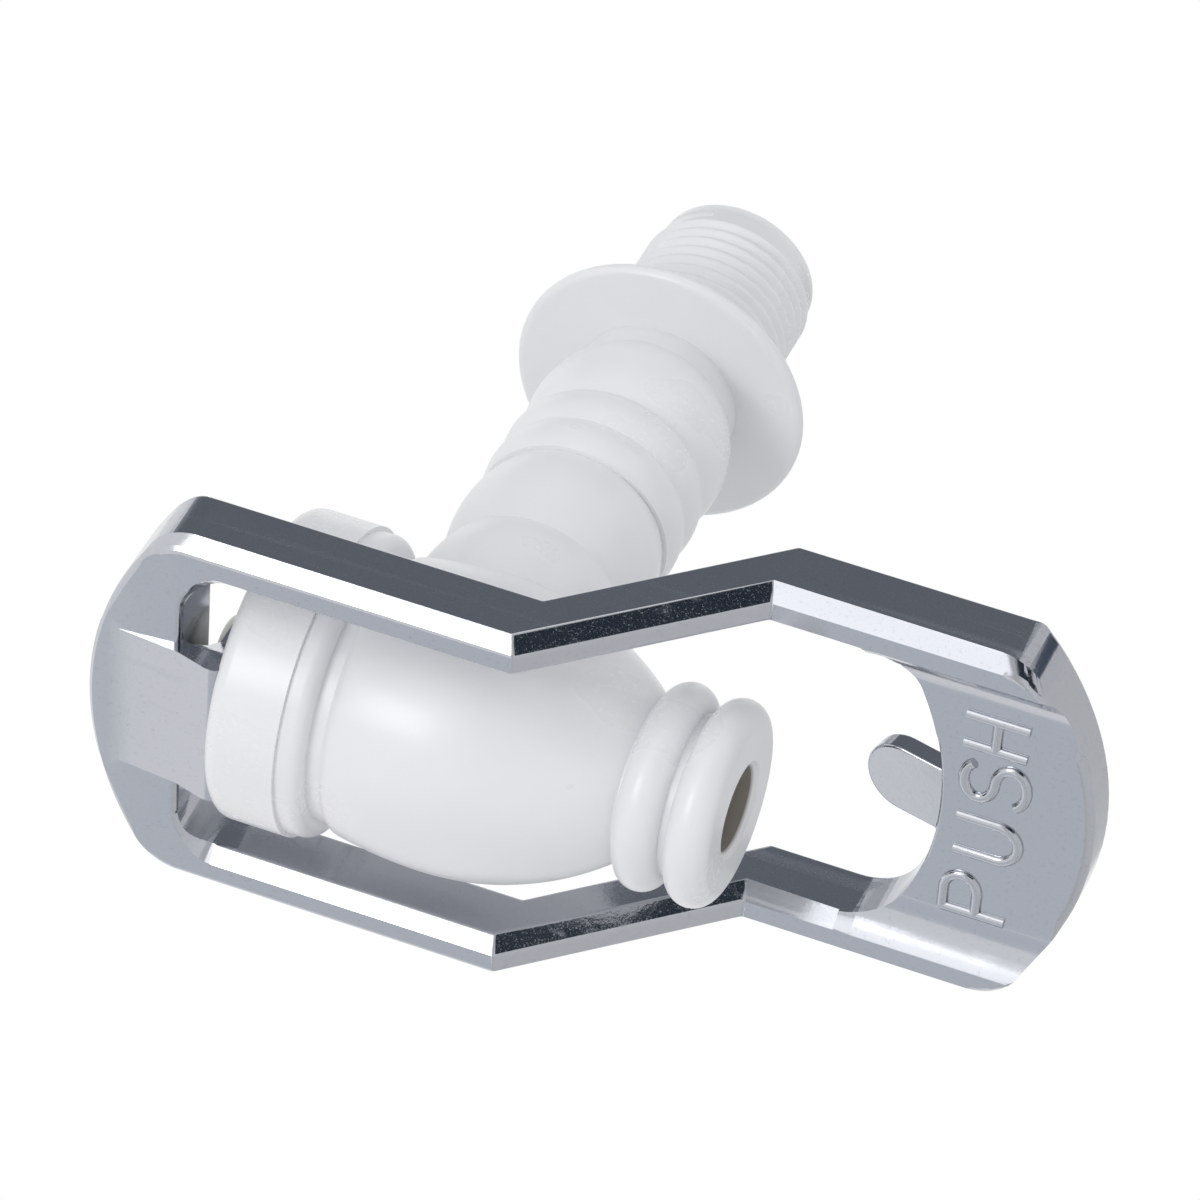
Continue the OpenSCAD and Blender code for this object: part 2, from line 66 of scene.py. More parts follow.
# %% Place the camera
PICTURE_RIGHT = Vector((0.0549, 0.3773, -0.9245)).normalized()
PICTURE_UP = Vector((0.7464, 0.5995, 0.2890)).normalized()
TO_CAMERA = PICTURE_RIGHT.cross(PICTURE_UP).normalized()

LENS_MM = 242.56
CAMERA_PLACE = Vector((604.6, -681.3, -234.2)) * MM

camera_data = bpy.data.cameras.new("camera")
camera_data.lens = LENS_MM
camera_data.sensor_width = 36
camera = bpy.data.objects.new("camera", camera_data)
bpy.context.scene.collection.objects.link(camera)
turn = Matrix((PICTURE_RIGHT, PICTURE_UP, TO_CAMERA)).transposed().to_4x4()
camera.matrix_world = Matrix.Translation(CAMERA_PLACE) @ turn
bpy.context.scene.camera = camera
bpy.context.scene.view_settings.view_transform = "Standard"
print("camera looks along", [round(-v, 3) for v in TO_CAMERA])

# %% [markdown]
# ## Small helpers for shader nodes
# Every finish is a node tree. These helpers add a node, set its plain values and link sockets, so
# the cells after them stay short.


# %% Helpers for nodes
def add(tree, kind, **values):
    node = tree.nodes.new(kind)
    for key, value in values.items():
        if hasattr(node, key):
            setattr(node, key, value)
        else:
            node.inputs[key.replace("_", " ")].default_value = value
    return node


def link(tree, start, end):
    tree.links.new(start, end)


def steps(tree, source, stops):
    ramp = add(tree, "ShaderNodeValToRGB")
    for i, (place, grey) in enumerate(stops):
        stop = ramp.color_ramp.elements[i] if i < 2 else ramp.color_ramp.elements.new(place)
        stop.position = place
        stop.color = (grey, grey, grey, 1)
    link(tree, source, ramp.inputs["Fac"])
    return ramp.outputs["Color"]


def two_tones(tree, mask, light, dark):
    mix = add(tree, "ShaderNodeMix", data_type="RGBA")
    mix.inputs["A"].default_value = (*light, 1)
    mix.inputs["B"].default_value = (*dark, 1)
    link(tree, mask, mix.inputs["Factor"])
    return mix.outputs["Result"]


def span(tree, value, low, high):
    size = add(tree, "ShaderNodeMapRange")
    size.inputs["To Min"].default_value = low
    size.inputs["To Max"].default_value = high
    link(tree, value, size.inputs["Value"])
    return size.outputs["Result"]


print("node helpers ready")

# %% [markdown]
# ## Light, floor and background
# The photograph is a studio picture on white: one soft box to the left of the camera, white all
# round, and dark cards that give the chrome its dark sides. The world is white to the camera and
# to reflections, and a little lower as light on the object.

# %% White world
world = bpy.data.worlds.new("studio")
bpy.context.scene.world = world
world.use_nodes = True
tree = world.node_tree
tree.nodes.clear()
rays = add(tree, "ShaderNodeLightPath")
seen = add(tree, "ShaderNodeMath", operation="MAXIMUM")
link(tree, rays.outputs["Is Camera Ray"], seen.inputs[0])
link(tree, rays.outputs["Is Glossy Ray"], seen.inputs[1])
seen_through = add(tree, "ShaderNodeMath", operation="MAXIMUM")
link(tree, seen.outputs[0], seen_through.inputs[0])
link(tree, rays.outputs["Is Transmission Ray"], seen_through.inputs[1])
lighting = add(tree, "ShaderNodeBackground", Color=(0.985, 0.99, 1.0, 1), Strength=0.70)
shown = add(tree, "ShaderNodeBackground", Color=(1, 1, 1, 1), Strength=1.0)
either = add(tree, "ShaderNodeMixShader")
link(tree, seen_through.outputs[0], either.inputs["Fac"])
link(tree, lighting.outputs[0], either.inputs[1])
link(tree, shown.outputs[0], either.inputs[2])
link(tree, either.outputs[0], add(tree, "ShaderNodeOutputWorld").inputs["Surface"])
print("world: white to the camera")

# %% [markdown]
# Each lamp and card is placed by a direction as the photographer sees it: so much to the picture's
# right, so much up and so much back to the camera, at a distance from a point on the spigot. A
# card shows only in reflections, so it takes no light from the plastic, and it fades at its rim,
# so its reflection has no hard edge. The cards above, to the right and at the corner are dark, for
# the lever's sides, its sloping bevel and its lower outer corner. The one in front is bright, for
# the front and its upright bevels. The one below is pale grey and takes the pad down from white.

# %% Soft boxes and cards
SPIGOT_MIDDLE = (0, -45, -12)


def face_object(thing, right, up, back, distance, middle=SPIGOT_MIDDLE):
    way = (PICTURE_RIGHT * right + PICTURE_UP * up + TO_CAMERA * back).normalized()
    thing.location = Vector(middle) * MM + way * distance
    thing.rotation_mode = "QUATERNION"
    thing.rotation_quaternion = way.to_track_quat("Z", "Y")


def soft_box(name, right, up, back, distance, size, watts):
    lamp = bpy.data.lights.new(name, "AREA")
    lamp.shape = "SQUARE"
    lamp.size = size
    lamp.energy = watts
    box = bpy.data.objects.new(name, lamp)
    bpy.context.scene.collection.objects.link(box)
    face_object(box, right, up, back, distance)


def card(name, right, up, back, distance, size, tone, middle=SPIGOT_MIDDLE):
    bm = bmesh.new()
    bmesh.ops.create_grid(bm, x_segments=1, y_segments=1, size=size / 2)
    mesh = bpy.data.meshes.new(name)
    bm.to_mesh(mesh)
    bm.free()
    thing = bpy.data.objects.new(name, mesh)
    bpy.context.scene.collection.objects.link(thing)
    face_object(thing, right, up, back, distance, middle)
    paint = bpy.data.materials.new(name)
    paint.use_nodes = True
    tree = paint.node_tree
    tree.nodes.clear()
    rays = add(tree, "ShaderNodeLightPath")
    place = add(tree, "ShaderNodeTexCoord")
    round_fade = add(tree, "ShaderNodeTexGradient", gradient_type="SPHERICAL")
    fit = add(tree, "ShaderNodeMapping")
    fit.inputs["Scale"].default_value = (2 / size, 2 / size, 2 / size)
    link(tree, place.outputs["Object"], fit.inputs["Vector"])
    link(tree, fit.outputs["Vector"], round_fade.inputs["Vector"])
    soft = steps(tree, round_fade.outputs["Fac"], [(0.0, 0.0), (0.3, 1.0)])
    both = add(tree, "ShaderNodeMath", operation="MULTIPLY")
    link(tree, rays.outputs["Is Glossy Ray"], both.inputs[0])
    link(tree, soft, both.inputs[1])
    clear = add(tree, "ShaderNodeBsdfTransparent")
    painted = add(tree, "ShaderNodeEmission", Color=(*tone, 1), Strength=1.0)
    either = add(tree, "ShaderNodeMixShader")
    link(tree, both.outputs[0], either.inputs["Fac"])
    link(tree, clear.outputs[0], either.inputs[1])
    link(tree, painted.outputs[0], either.inputs[2])
    link(tree, either.outputs[0], add(tree, "ShaderNodeOutputMaterial").inputs["Surface"])
    mesh.materials.append(paint)


soft_box("key_box", -0.62, 0.04, 0.78, 0.8, 0.30, 1.5)
soft_box("fill_box", 0.1, 0.95, 0.35, 1.0, 0.7, 0.9)
card("card_above", 0.07, 1.0, -0.12, 0.7, 1.5, (0.17, 0.185, 0.21))
card("card_right", 0.58, 0.15, 0.80, 0.30, 0.30, (0.03, 0.04, 0.055), (24, -65, -22))
card("card_front", -0.40, 0.22, 0.89, 0.9, 0.70, (1.6, 1.6, 1.6))
card("card_corner", 0.893, 0.417, -0.168, 0.28, 0.13, (0.07, 0.09, 0.13), (24, -60, -68))
card("card_below", -0.50, -0.80, 0.05, 0.36, 0.30, (0.72, 0.75, 0.79), (15, -52, -58))

# %% [markdown]
# The floor lies well below the spigot, because the real one hangs from a tank wall and the camera
# looks up at it. The floor is pale and keeps the shadow. Its underside is left clear, so that a
# view from below still shows the part.

# %% Floor
FLOOR_Z = -0.30
FLOOR_GLOW = 0.72

bm = bmesh.new()
bmesh.ops.create_grid(bm, x_segments=1, y_segments=1, size=6.0)
bmesh.ops.translate(bm, verts=bm.verts, vec=(0, 0, FLOOR_Z))
floor_mesh = bpy.data.meshes.new("floor")
bm.to_mesh(floor_mesh)
bm.free()
floor = bpy.data.objects.new("floor", floor_mesh)
bpy.context.scene.collection.objects.link(floor)
paint = bpy.data.materials.new("floor_paper")
paint.use_nodes = True
tree = paint.node_tree
tree.nodes.clear()
rays = add(tree, "ShaderNodeLightPath")
sides = add(tree, "ShaderNodeNewGeometry")
paper = add(tree, "ShaderNodeBsdfDiffuse", Color=(0.92, 0.92, 0.92, 1))
glow = add(tree, "ShaderNodeEmission", Color=(1, 1, 1, 1), Strength=1.0)
share = add(tree, "ShaderNodeMath", operation="MULTIPLY")
share.inputs[1].default_value = FLOOR_GLOW
link(tree, rays.outputs["Is Camera Ray"], share.inputs[0])
bright = add(tree, "ShaderNodeMixShader")
link(tree, share.outputs[0], bright.inputs["Fac"])
link(tree, paper.outputs[0], bright.inputs[1])
link(tree, glow.outputs[0], bright.inputs[2])
under = add(tree, "ShaderNodeMixShader")
link(tree, sides.outputs["Backfacing"], under.inputs["Fac"])
link(tree, bright.outputs[0], under.inputs[1])
link(tree, add(tree, "ShaderNodeBsdfTransparent").outputs[0], under.inputs[2])
link(tree, under.outputs[0], add(tree, "ShaderNodeOutputMaterial").inputs["Surface"])
floor_mesh.materials.append(paint)
print("floor at z =", round(FLOOR_Z / MM), "mm")

# %% [markdown]
# ## Shared surface effects
# Two effects appear in more than one finish, so each is a node group that is built once.
# The first is the skin of a moulding: a very fine grain, and broad soft waves where the plastic
# shrank. The second is handling marks: fine scratches in two directions and small specks.


# %% Node groups
def new_group(name, takes, gives):
    group = bpy.data.node_groups.new(name, "ShaderNodeTree")
    group.interface.new_socket("Vector", in_out="INPUT", socket_type="NodeSocketVector")
    for socket, value in takes.items():
        made = group.interface.new_socket(socket, in_out="INPUT", socket_type="NodeSocketFloat")
        made.default_value = value
    for socket in gives:
        group.interface.new_socket(socket, in_out="OUTPUT", socket_type="NodeSocketFloat")
    return group, group.nodes.new("NodeGroupInput"), group.nodes.new("NodeGroupOutput")


skin, skin_in, skin_out = new_group(
    "moulded_skin", {"Grain Scale": 3000.0, "Wave Scale": 60.0}, ["Grain", "Waves"]
)
grain = add(skin, "ShaderNodeTexNoise", Detail=3.0, Roughness=0.6)
link(skin, skin_in.outputs["Vector"], grain.inputs["Vector"])
link(skin, skin_in.outputs["Grain Scale"], grain.inputs["Scale"])
waves = add(skin, "ShaderNodeTexNoise", Detail=2.0, Roughness=0.45)
link(skin, skin_in.outputs["Vector"], waves.inputs["Vector"])
link(skin, skin_in.outputs["Wave Scale"], waves.inputs["Scale"])
link(skin, grain.outputs["Fac"], skin_out.inputs["Grain"])
link(skin, waves.outputs["Fac"], skin_out.inputs["Waves"])

marks, marks_in, marks_out = new_group(
    "handling_marks", {"Scratch Scale": 500.0, "Speck Scale": 900.0}, ["Scratches", "Specks"]
)
both_ways = []
for tilt in (0.35, -0.9):
    lay = add(marks, "ShaderNodeMapping")
    lay.inputs["Rotation"].default_value = (tilt, tilt * 0.7, tilt * 1.3)
    lay.inputs["Scale"].default_value = (1.0, 1.0, 0.03)
    link(marks, marks_in.outputs["Vector"], lay.inputs["Vector"])
    streak = add(marks, "ShaderNodeTexNoise", Detail=2.0, Roughness=0.6)
    link(marks, lay.outputs["Vector"], streak.inputs["Vector"])
    link(marks, marks_in.outputs["Scratch Scale"], streak.inputs["Scale"])
    both_ways.append(steps(marks, streak.outputs["Fac"], [(0.62, 0.0), (0.72, 1.0)]))
most = add(marks, "ShaderNodeMath", operation="MAXIMUM")
link(marks, both_ways[0], most.inputs[0])
link(marks, both_ways[1], most.inputs[1])
link(marks, most.outputs[0], marks_out.inputs["Scratches"])
specks = add(marks, "ShaderNodeTexNoise", Detail=4.0, Roughness=0.75)
link(marks, marks_in.outputs["Vector"], specks.inputs["Vector"])
link(marks, marks_in.outputs["Speck Scale"], specks.inputs["Scale"])
link(marks, steps(marks, specks.outputs["Fac"], [(0.56, 0.0), (0.7, 1.0)]), marks_out.inputs["Specks"])
print("groups:", [g.name for g in bpy.data.node_groups])

# %% [markdown]
# ## Plastic
# Body and bonnet are satin-gloss white plastic. The colour varies by a hair, the gloss by a
# little more, and a shallow bump gives the soft uneven reflections of a moulding. The nozzle's
# bore lies in shade, and that shade is painted into its colour as a darker tone; the distance
# from the barrel's axis tells the bore from the outside.


# %% Plastic finish
def begin(name):
    finish = bpy.data.materials.new(name)
    finish.use_nodes = True
    tree = finish.node_tree
    tree.nodes.clear()
    shader = add(tree, "ShaderNodeBsdfPrincipled")
    link(tree, shader.outputs[0], add(tree, "ShaderNodeOutputMaterial").inputs["Surface"])
    return finish, tree, shader, add(tree, "ShaderNodeTexCoord").outputs["Object"]


def place_group(tree, group, where, **values):
    node = tree.nodes.new("ShaderNodeGroup")
    node.node_tree = group
    for key, value in values.items():
        node.inputs[key.replace("_", " ")].default_value = value
    link(tree, where, node.inputs["Vector"])
    return node


def bump(tree, shader, height, strength, depth):
    dent = add(tree, "ShaderNodeBump", Strength=strength, Distance=depth)
    link(tree, height, dent.inputs["Height"])
    link(tree, dent.outputs["Normal"], shader.inputs["Normal"])
    return dent


SPECK_DULLNESS = 0.05


def plastic(name, light, dark, rough, soft=0.0):
    finish, tree, shader, where = begin(name)
    skin_node = place_group(tree, skin, where, Grain_Scale=2600.0, Wave_Scale=70.0)
    marks_node = place_group(tree, marks, where, Scratch_Scale=420.0, Speck_Scale=1400.0)
    tone = steps(tree, skin_node.outputs["Waves"], [(0.35, 0.0), (0.7, 1.0)])
    link(tree, two_tones(tree, tone, light, dark), shader.inputs["Base Color"])
    gloss = add(tree, "ShaderNodeMath", operation="MULTIPLY_ADD")
    link(tree, marks_node.outputs["Specks"], gloss.inputs[0])
    gloss.inputs[1].default_value = SPECK_DULLNESS
    link(tree, span(tree, skin_node.outputs["Waves"], rough - 0.05, rough + 0.07), gloss.inputs[2])
    link(tree, gloss.outputs[0], shader.inputs["Roughness"])
    bump(tree, shader, skin_node.outputs["Grain"], 0.12, 0.00006)
    shader.inputs["IOR"].default_value = 1.49
    if soft:
        shader.inputs["Subsurface Weight"].default_value = soft
        shader.inputs["Subsurface Scale"].default_value = 0.002
        shader.inputs["Subsurface Radius"].default_value = (1.0, 0.8, 0.6)
    return finish


# Painted shade: near the barrel's axis the bore's white turns to a darker warm grey, standing in for the
# shade deep inside the nozzle.
BORE_SHADE_TONE = (0.34, 0.315, 0.285)
BORE_SHADE_FADE = (5.3 * MM, 5.0 * MM)


def paint_bore_shade(finish):
    tree = finish.node_tree
    shader = next(n for n in tree.nodes if n.type == "BSDF_PRINCIPLED")
    colour = shader.inputs["Base Color"].links[0].from_socket
    where = add(tree, "ShaderNodeVectorMath", operation="MULTIPLY_ADD")
    link(tree, add(tree, "ShaderNodeTexCoord").outputs["Object"], where.inputs[0])
    where.inputs[1].default_value = (1, 1, 0)
    where.inputs[2].default_value = (0, REACH, 0)
    out = add(tree, "ShaderNodeVectorMath", operation="LENGTH")
    link(tree, where.outputs[0], out.inputs[0])
    inside = add(tree, "ShaderNodeMapRange")
    inside.inputs["From Min"].default_value, inside.inputs["From Max"].default_value = BORE_SHADE_FADE
    link(tree, out.outputs["Value"], inside.inputs["Value"])
    mix = add(tree, "ShaderNodeMix", data_type="RGBA")
    mix.inputs["B"].default_value = (*BORE_SHADE_TONE, 1)
    link(tree, inside.outputs["Result"], mix.inputs["Factor"])
    link(tree, colour, mix.inputs["A"])
    link(tree, mix.outputs["Result"], shader.inputs["Base Color"])


body_white = plastic("body_white", (0.86, 0.865, 0.885), (0.83, 0.835, 0.855), 0.28)
bonnet_white = plastic("bonnet_white", (0.875, 0.88, 0.90), (0.85, 0.855, 0.875), 0.26)
stem_cream = plastic("stem_cream", (0.80, 0.79, 0.74), (0.76, 0.75, 0.70), 0.42)
silicone = plastic("cup_silicone", (0.78, 0.78, 0.76), (0.74, 0.74, 0.72), 0.5, soft=0.3)
paint_bore_shade(body_white)
print("plastic finishes ready")

# %% [markdown]
# ## Metal
# The lever is polished and plated zinc: a mirror under a haze of specks, fine scratches and slow
# waves. In the photograph its side and its sloping bevels show a fine white speckle in their dark
# reflections. Those faces are told apart by the direction they look in, to +X or half down, and
# get fine dull pits and a stronger bump. The spring's wire is plain drawn steel.


# %% Metal finishes
PLAIN_BUMP = 0.16
SCRATCH_DULLNESS = 0.16
PIT_SCALE = 4200.0
PIT_DULLNESS = 0.45


def metal(name, light, dark, rough, rougher, haze, scratch, wave, ground_bump=PLAIN_BUMP):
    finish, tree, shader, where = begin(name)
    shader.inputs["Metallic"].default_value = 1.0
    skin_node = place_group(tree, skin, where, Grain_Scale=1500.0, Wave_Scale=130.0)
    marks_node = place_group(tree, marks, where, Scratch_Scale=scratch, Speck_Scale=haze)
    link(tree, two_tones(tree, marks_node.outputs["Specks"], light, dark), shader.inputs["Base Color"])
    worn = add(tree, "ShaderNodeMath", operation="MULTIPLY_ADD")
    link(tree, marks_node.outputs["Scratches"], worn.inputs[0])
    worn.inputs[1].default_value = SCRATCH_DULLNESS
    link(tree, span(tree, skin_node.outputs["Waves"], rough, rougher), worn.inputs[2])

    facing = add(tree, "ShaderNodeSeparateXYZ")
    link(tree, add(tree, "ShaderNodeTexCoord").outputs["Normal"], facing.inputs[0])
    down = add(tree, "ShaderNodeMath", operation="MULTIPLY")
    link(tree, facing.outputs["Z"], down.inputs[0])
    down.inputs[1].default_value = -1.0
    slopes = steps(
        tree, down.outputs[0], [(0.0, 0.0), (0.40, 0.0), (0.45, 1.0), (0.51, 1.0), (0.56, 0.0)]
    )
    sides = steps(tree, facing.outputs["X"], [(0.9, 0.0), (0.97, 0.45)])
    ground = add(tree, "ShaderNodeMath", operation="MAXIMUM")
    link(tree, slopes, ground.inputs[0])
    link(tree, sides, ground.inputs[1])
    fine = place_group(tree, marks, where, Scratch_Scale=scratch * 3, Speck_Scale=PIT_SCALE)
    pitted = add(tree, "ShaderNodeMath", operation="MULTIPLY")
    link(tree, ground.outputs[0], pitted.inputs[0])
    link(tree, fine.outputs["Specks"], pitted.inputs[1])
    dull = add(tree, "ShaderNodeMath", operation="MULTIPLY_ADD")
    link(tree, pitted.outputs[0], dull.inputs[0])
    dull.inputs[1].default_value = PIT_DULLNESS
    link(tree, worn.outputs[0], dull.inputs[2])
    link(tree, dull.outputs[0], shader.inputs["Roughness"])

    height = add(tree, "ShaderNodeMath", operation="MULTIPLY_ADD")
    link(tree, skin_node.outputs["Waves"], height.inputs[0])
    height.inputs[1].default_value = wave
    link(tree, skin_node.outputs["Grain"], height.inputs[2])
    dent = bump(tree, shader, height.outputs[0], PLAIN_BUMP, 0.00005)
    link(tree, span(tree, ground.outputs[0], PLAIN_BUMP, ground_bump), dent.inputs["Strength"])
    return finish


chrome = metal(
    "lever_plating", (0.525, 0.54, 0.58), (0.46, 0.475, 0.51), 0.10, 0.18, 1900.0, 380.0, 6.0,
    ground_bump=0.45,
)
wire = metal("spring_wire", (0.60, 0.60, 0.60), (0.42, 0.42, 0.42), 0.22, 0.36, 2500.0, 900.0, 1.0)
print("metal finishes ready")

# %% [markdown]
# ## Taking a CAD solid over
# A CAD node arrives as loose triangles with hard edges. A copy is merged, its flat areas are
# dissolved into single faces, and a narrow Bevel modifier rounds the edges as a mould does. The
# size stays the CAD's, because a bevel only takes material off an edge.


# %% Helpers for pieces
def finish_piece(bm, name, material, body, smooth=30):
    mesh = bpy.data.meshes.new(name)
    bm.to_mesh(mesh)
    bm.free()
    mesh.materials.append(material)
    mesh.shade_smooth()
    mesh.set_sharp_from_angle(angle=math.radians(smooth))
    piece = bpy.data.objects.new(name, mesh)
    bpy.context.scene.collection.objects.link(piece)
    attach(piece, body)
    print(name, "faces:", len(mesh.polygons))
    return piece


def merged(node):
    bm = bmesh.new()
    bm.from_mesh(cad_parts[node].data)
    bmesh.ops.remove_doubles(bm, verts=bm.verts, dist=2e-6)
    return bm


def flatten(bm, degrees=0.4):
    bmesh.ops.dissolve_limit(
        bm, angle_limit=math.radians(degrees), verts=bm.verts, edges=bm.edges, use_dissolve_boundaries=False
    )


def soft_edges(piece, width, limit=28, segments=3):
    edge = piece.modifiers.new("soft_edges", "BEVEL")
    edge.width = width
    edge.segments = segments
    edge.limit_method = "ANGLE"
    edge.angle_limit = math.radians(limit)
    edge.use_clamp_overlap = True
    edge.harden_normals = True
    edge.miter_outer = "MITER_ARC"


print("piece helpers ready")

# %% [markdown]
# ## Body
# The body is one moulding: wall thread, flange, turned shank, barrel and nozzle. The copy is cut
# just behind the flange, because the real thread, a helix, takes the place of the plain cylinder.

# %% Body without its thread
THREAD_START = 0.05 * MM
BODY_EDGE = 0.22 * MM
bm = merged("faucet_body")
bmesh.ops.bisect_plane(
    bm, geom=bm.verts[:] + bm.edges[:] + bm.faces[:], dist=1e-7,
    plane_co=(0, THREAD_START, 0), plane_no=(0, 1, 0), clear_outer=True,
)
rim = [e for e in bm.edges if e.is_boundary]
bmesh.ops.bridge_loops(bm, edges=rim)
flatten(bm)
body = finish_piece(bm, "body_moulding", body_white, "housing")
soft_edges(body, BODY_EDGE)
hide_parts("faucet_body")

# %% [markdown]
# ## Wall thread
# The thread is a half inch pipe thread, 20.955 mm outside with a pitch of 1.814 mm. A tube is spun
# for its core, then a ridge profile is spun with a step along the axis, which makes a helix. At
# both ends the ridge sinks into the core over a short stretch, as a cut thread runs out.

# %% Thread core and ridge
THREAD_R = 10.4775 * MM
ROOT_R = THREAD_R - 0.6 * MM
LEAD_R = 9.75 * MM
BORE_R = 6.0 * MM
PITCH = 1.814 * MM
THREAD_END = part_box("faucet_body")[1].y
LEAD_START = THREAD_END - 1.8 * MM
TURNS = 11
FACETS = 64
SUNK = 0.05 * MM
RUN_OUT = 0.6

bm = bmesh.new()
outline = [
    (BORE_R, THREAD_START),
    (ROOT_R, THREAD_START),
    (ROOT_R, LEAD_START - 0.2 * MM),
    (LEAD_R, LEAD_START),
    (LEAD_R, THREAD_END - 0.7 * MM),
    (9.1 * MM, THREAD_END),
    (6.4 * MM, THREAD_END),
    (BORE_R, THREAD_END - 0.4 * MM),
]
ring = [bm.verts.new((r, y, 0)) for r, y in outline]
edges = [bm.edges.new((ring[i], ring[(i + 1) % len(ring)])) for i in range(len(ring))]
bmesh.ops.spin(
    bm, geom=ring + edges, cent=(0, 0, 0), axis=(0, 1, 0),
    angle=2 * math.pi, steps=96, use_merge=True,
)
ridge = [
    (-0.95, -0.05), (-0.65, 0.10), (-0.28, 0.50), (0, 0.59), (0.28, 0.50), (0.65, 0.10), (0.95, -0.05)
]
start = [bm.verts.new((ROOT_R + high * MM, 1.0 * MM + along * MM, 0)) for along, high in ridge]
face = bm.faces.new(start)
bmesh.ops.spin(
    bm, geom=start + face.edges[:] + [face], cent=(0, 0, 0), axis=(0, 1, 0),
    dvec=(0, PITCH / FACETS, 0), angle=2 * math.pi * TURNS, steps=FACETS * TURNS, use_merge=False,
)
bm.verts.index_update()
first = start[0].index
for v in bm.verts:
    if v.index < first:
        continue
    step = (v.index - first) // len(ridge)
    share = min(step, FACETS * TURNS - step) / (FACETS * RUN_OUT)
    if share < 1:
        r = math.hypot(v.co.x, v.co.z)
        lower = ROOT_R - SUNK + (r - ROOT_R + SUNK) * share
        v.co.x *= lower / r
        v.co.z *= lower / r
bmesh.ops.recalc_face_normals(bm, faces=bm.faces)
ridge_end = max(v.co.y for v in bm.verts)
finish_piece(bm, "wall_thread", body_white, "housing", smooth=40)
print("thread ends at", round(ridge_end / MM, 2), "mm of", round(THREAD_END / MM, 2))

# %% [markdown]
# ## Bonnet, cup, stem and spring
# The bonnet is a screwed cap with a softly rounded top edge. The cup, stem and spring sit inside
# it and keep their CAD shapes; only the stem's head shows above the fork.

# %% Bonnet and inner pieces
BONNET_EDGE = 0.25 * MM
bm = merged("bonnet")
flatten(bm)
bonnet = finish_piece(bm, "bonnet_cap", bonnet_white, "housing")
soft_edges(bonnet, BONNET_EDGE)
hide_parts("bonnet")
bm = merged("stem")
flatten(bm)
stem = finish_piece(bm, "valve_stem_pin", stem_cream, "valve_stem")
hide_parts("stem")
for node, name, material, slot, top in (
    ("seat_cup", "bellows_cup", silicone, "silicone", 20.0 * MM),
    ("spring", "stem_spring", wire, "spring_steel", 19.98 * MM),
):
    piece = finish_piece(merged(node), name, material, "housing")
    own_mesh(piece)
    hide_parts(node)
print("inner pieces dressed")

# %% [markdown]
# ## Lever
# The lever is a zinc casting, ground and polished before plating. Its front bevel runs on round
# the outer corners, narrows round the window's corners, and beside the pad each arm's inner side
# is a wide hollow. The CAD has these in a plainer form. The cutters below take off the rest. Each
# is lofted from a row of loops, so that its width or depth can change along the way.

# %% Cutters for the lever
ARM_IN = 19.5 * MM
ARM_OUT = 25.25 * MM
FRONT_BEVEL = 1.7 * MM
END_BREAK = 0.5 * MM
CORNER_R = 6.5 * MM
TOP_ARC_R = 40.8 * MM
PAD_ARC_R = 37.6 * MM
UPPER_FRONT = -REACH - 12.35 * MM
LOWER_FRONT = -REACH + 7.95 * MM
PAD_DEPTH = 2.6 * MM
PAD_FLOOR = LOWER_FRONT + PAD_DEPTH


def loft(bm, loops):
    rings = [[bm.verts.new(point) for point in loop] for loop in loops]
    for low, high in zip(rings, rings[1:]):
        for i in range(len(low)):
            j = (i + 1) % len(low)
            bm.faces.new((low[i], low[j], high[j], high[i]))
    bm.faces.new(rings[0])
    bm.faces.new(rings[-1])


def outer_corner(bm, side, way, mid_z, end_r, front_y):
    loops = []
    for depth, across, radius in (
        (-1.0 * MM, ARM_OUT - FRONT_BEVEL - 1.0 * MM, end_r - END_BREAK - 1.0 * MM),
        (END_BREAK, ARM_OUT - FRONT_BEVEL + END_BREAK, end_r),
        (FRONT_BEVEL, ARM_OUT, end_r),
        (FRONT_BEVEL + 0.4 * MM, ARM_OUT + 0.4 * MM, end_r + 0.4 * MM),
    ):
        near = CORNER_R - 0.02 * MM
        cx = across - near
        cz = math.sqrt((radius - near) ** 2 - cx ** 2)
        far = math.atan2(cz, cx)
        turn = [far * i / 14 for i in range(15)]
        loop = [(cx + CORNER_R * math.cos(a), cz + CORNER_R * math.sin(a)) for a in turn]
        out = radius + 4 * MM
        loop += [(out * math.cos(far), out * math.sin(far)), (out, out * math.sin(far)), (out, cz)]
        loops.append([(side * x, front_y + depth, mid_z + way * z) for x, z in loop])
    loft(bm, loops)


def window_corner(bm, side):
    mid_x, mid_z, r = 15.0 * MM, 23.0 * MM, 4.5 * MM
    loops = []
    for i in range(-2, 13):
        a = math.radians(max(i, 0) * 7.5)
        fade = min(1.0, max(i, 0) / 8)
        width = FRONT_BEVEL - (FRONT_BEVEL - END_BREAK) * fade * fade * (3 - 2 * fade)
        x, z = mid_x + r * math.cos(a), mid_z + r * math.sin(a) + min(i, 0) * 0.4 * MM
        loop = []
        for out, deep in ((width + 1 * MM, -1 * MM), (-0.3 * MM, width + 0.3 * MM), (-0.3 * MM, -1 * MM)):
            loop.append((side * (x + out * math.cos(a)), UPPER_FRONT + deep, z + out * math.sin(a)))
        loops.append(loop)
    loft(bm, loops)


def side_hollow(bm, side):
    mid_x, r = 16.2 * MM, 6.0 * MM
    loops = []
    for z, lift in ((-75.0, -0.1), (-46.0, -0.1), (-41.0, 0.6)):
        mid_y = PAD_FLOOR - lift * MM - r
        ring = [math.radians(7.5 * i) for i in range(48)]
        loops.append([(side * (mid_x + r * math.cos(a)), mid_y + r * math.sin(a), z * MM) for a in ring])
    loft(bm, loops)


